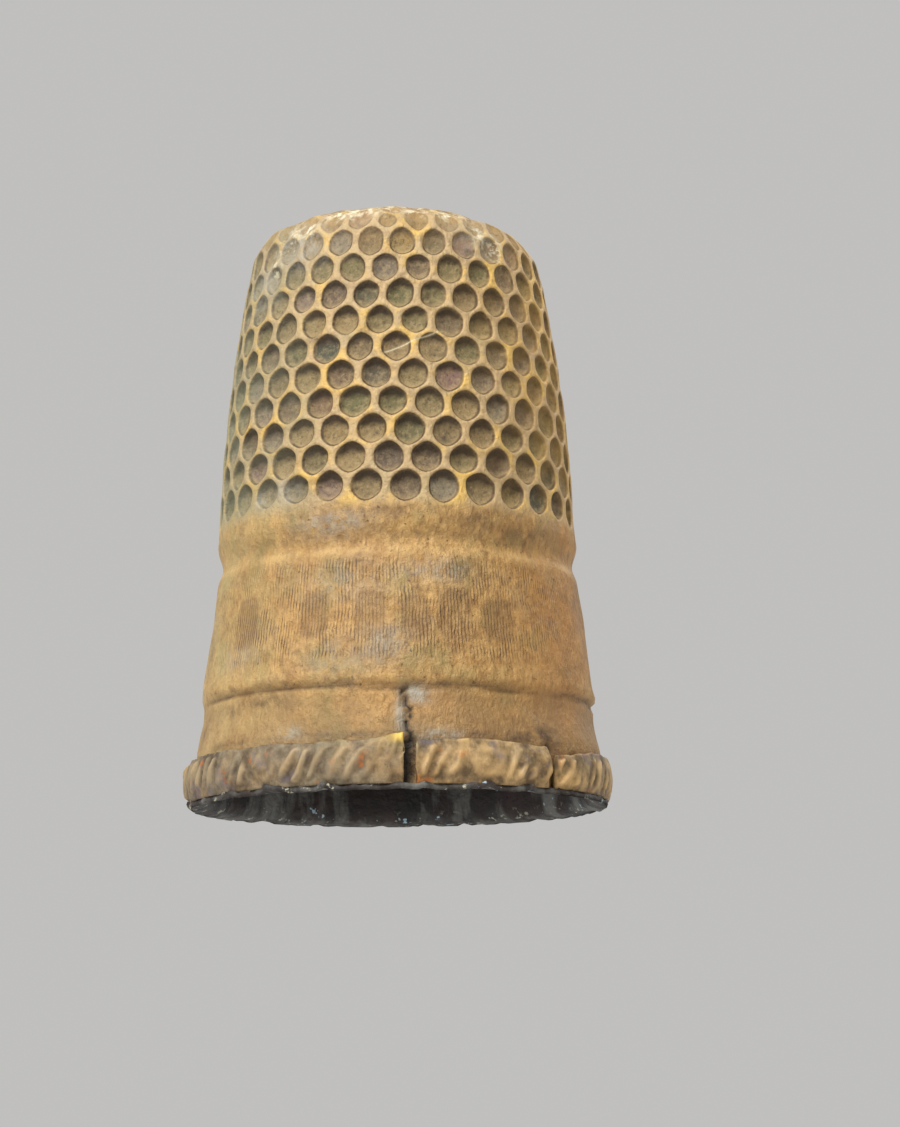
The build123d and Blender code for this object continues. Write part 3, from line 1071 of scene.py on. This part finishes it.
class THIMBLE_OT_skin(bpy.types.Operator):
    """Build the knurled brass skin"""

    bl_idname = "thimble.skin"
    bl_label = "Brass skin"

    def execute(self, context):
        scene = context.scene
        made = knurled_skin(Skin("outer_shell"), scene.thimble_knurl, scene.thimble_skin)
        wear_skin(made, scene.thimble_skin)
        dress(made, aged_drawn_brass(scene.thimble_colours), "outer_shell")
        return {"FINISHED"}


class THIMBLE_OT_lining(bpy.types.Operator):
    """Build the white-metal lining"""

    bl_idname = "thimble.lining"
    bl_label = "Grey lining"

    def execute(self, context):
        scene = context.scene
        made = grey_lining(Skin("outer_shell"), scene.thimble_lining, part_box("inner_liner")[1].x)
        dress(made, oxidised_white_metal(scene.thimble_colours), "inner_liner")
        return {"FINISHED"}


class THIMBLE_OT_band(bpy.types.Operator):
    """Build the two lengths of the rim band"""

    bl_idname = "thimble.band"
    bl_label = "Rim band"

    def execute(self, context):
        band = context.scene.thimble_band
        low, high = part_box("rim_band")
        inner = Skin("outer_shell").foot_radius + band.gap
        material = stamped_band_brass(context.scene.thimble_colours)
        first = degrees(band.first_break)
        second = degrees(band.second_break)
        half_first = degrees(band.first_break_width) / 2
        half_second = degrees(band.second_break_width) / 2
        lengths = (
            ("rim_band_broken_piece", "rim_band_fragment", first + half_first, second - half_second),
            ("rim_band_long", "rim_band", second + half_second, first - half_first + 360),
        )
        for name, node, start, end in lengths:
            strip = stamped_strip(name, start, end, low.z, high.z, inner, band)
            wear_strip(strip, start, end, inner, low.z, high.z, band)
            dress(strip, material, node)
        return {"FINISHED"}


class THIMBLE_OT_stage(bpy.types.Operator):
    """Set out the floor, the lights and the camera"""

    bl_idname = "thimble.stage"
    bl_label = "Stage"

    def execute(self, context):
        scene = context.scene
        scene.view_settings.view_transform = "Standard"
        floor_object = pale_floor()
        floor_object.data.materials.append(matt_floor_paint(scene.thimble_colours.floor))
        for name, place, size, power in LAMPS:
            lamp = bpy.data.lights.new(name, "AREA")
            lamp.size = size
            lamp.energy = power
            lamp_object = bpy.data.objects.new(name, lamp)
            lamp_object.location = place
            aim = Vector((0, 0, LAMP_AIM)) - Vector(place)
            lamp_object.rotation_euler = aim.to_track_quat("-Z", "Y").to_euler()
            scene.collection.objects.link(lamp_object)
        world = bpy.data.worlds.new("pale_room")
        world.use_nodes = True
        backdrop = world.node_tree.nodes["Background"]
        backdrop.inputs["Color"].default_value = (*srgb(ROOM_COLOUR), 1)
        backdrop.inputs["Strength"].default_value = ROOM_STRENGTH
        scene.world = world
        lens = bpy.data.cameras.new("camera")
        lens.lens = CAMERA_LENS
        lens.clip_start = 0.005
        camera = bpy.data.objects.new("camera", lens)
        tilt = Matrix.Rotation(radians(90 + CAMERA_RAISED), 4, "X")
        roll = Matrix.Rotation(radians(CAMERA_ROLL), 4, "Z")
        camera.matrix_world = Matrix.Translation(Vector(CAMERA_PLACE) * MM) @ tilt @ roll
        scene.collection.objects.link(camera)
        scene.camera = camera
        return {"FINISHED"}


class THIMBLE_PT_panel(bpy.types.Panel):
    """Sizes, colours and build steps of the thimble"""

    bl_idname = "THIMBLE_PT_panel"
    bl_label = "Worn brass thimble"
    bl_space_type = "VIEW_3D"
    bl_region_type = "UI"
    bl_category = "Thimble"

    def draw(self, context):
        for operator in OPERATORS:
            self.layout.operator(operator.bl_idname)
        for name in GROUPS:
            group = getattr(context.scene, name)
            box = self.layout.box()
            for setting in group.__annotations__:
                box.prop(group, setting)


GROUPS = {
    "thimble_knurl": ThimbleKnurl,
    "thimble_skin": ThimbleSkin,
    "thimble_lining": ThimbleLining,
    "thimble_band": ThimbleBand,
    "thimble_colours": ThimbleColours,
}
OPERATORS = (THIMBLE_OT_skin, THIMBLE_OT_lining, THIMBLE_OT_band, THIMBLE_OT_stage)


def register():
    """Register the settings, the operators and the panel."""
    for made in (*GROUPS.values(), *OPERATORS, THIMBLE_PT_panel):
        bpy.utils.register_class(made)
    for name, group in GROUPS.items():
        setattr(bpy.types.Scene, name, bpy.props.PointerProperty(type=group))


def unregister():
    """Remove what register added."""
    for name in GROUPS:
        delattr(bpy.types.Scene, name)
    for made in reversed((*GROUPS.values(), *OPERATORS, THIMBLE_PT_panel)):
        bpy.utils.unregister_class(made)


def main():
    """Build the thimble and its stage."""
    register()
    bpy.ops.thimble.skin()
    bpy.ops.thimble.lining()
    bpy.ops.thimble.band()
    bpy.ops.thimble.stage()


if __name__ == "__main__":
    main()
